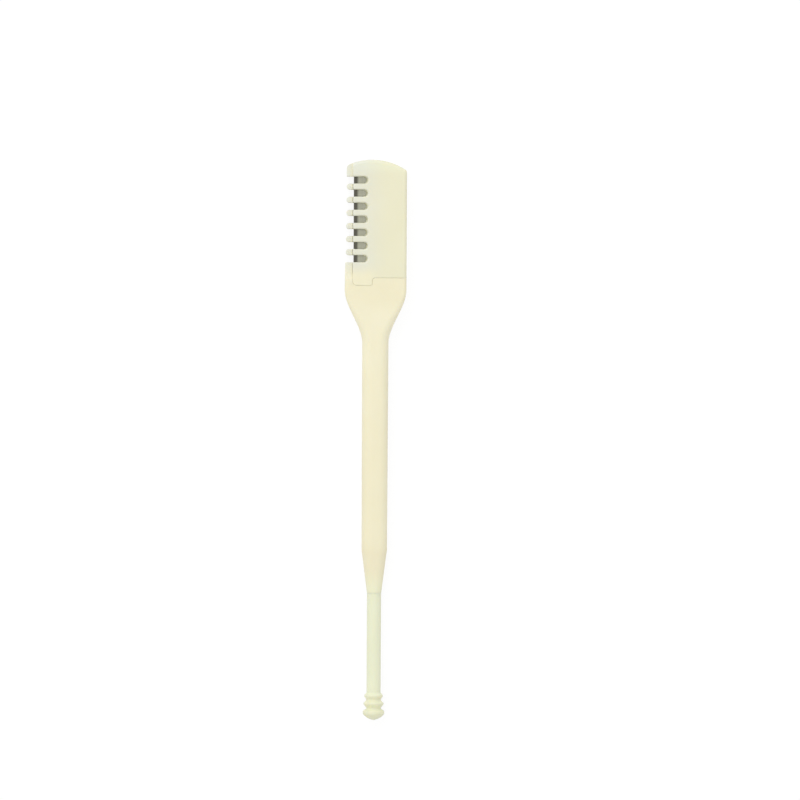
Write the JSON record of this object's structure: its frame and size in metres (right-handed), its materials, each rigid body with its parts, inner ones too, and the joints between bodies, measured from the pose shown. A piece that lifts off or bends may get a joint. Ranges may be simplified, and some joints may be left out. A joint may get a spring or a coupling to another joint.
{
  "type": "manual nose hair trimmer",
  "caption": "Slim plastic hand trimmer: flat comb head with a steel blade trapped under a lift-off comb cover, rounded stem and ringed ear pick end.",
  "frame": {"origin": "under the middle of the whole object, on the plane of its flat back, on which it lies", "axes": "+X to the right seen from the front, away from the comb; +Y along the length from the ear pick to the head; +Z out of the front face"},
  "size_m": [0.0094, 0.085, 0.0034],
  "materials": {
    "handle_plastic": "satin moulded, warm cream, slightly translucent",
    "cover_plastic": "satin moulded, cooler cream, slightly translucent",
    "pick_plastic": "satin moulded, cooler cream, slightly translucent",
    "blade_steel": "fine brushed flat with a ground edge"
  },
  "bodies": {
    "grip": {"handle": "handle_plastic", "blade": "blade_steel", "ear_pick": "pick_plastic"},
    "cover": {"comb_cover": "cover_plastic"}
  },
  "joints": [
    {"name": "cover_lift", "type": "slide", "parent": "grip", "child": "cover", "axis": [0, 0, 1], "range_m": [0, 0.006]}
  ]
}
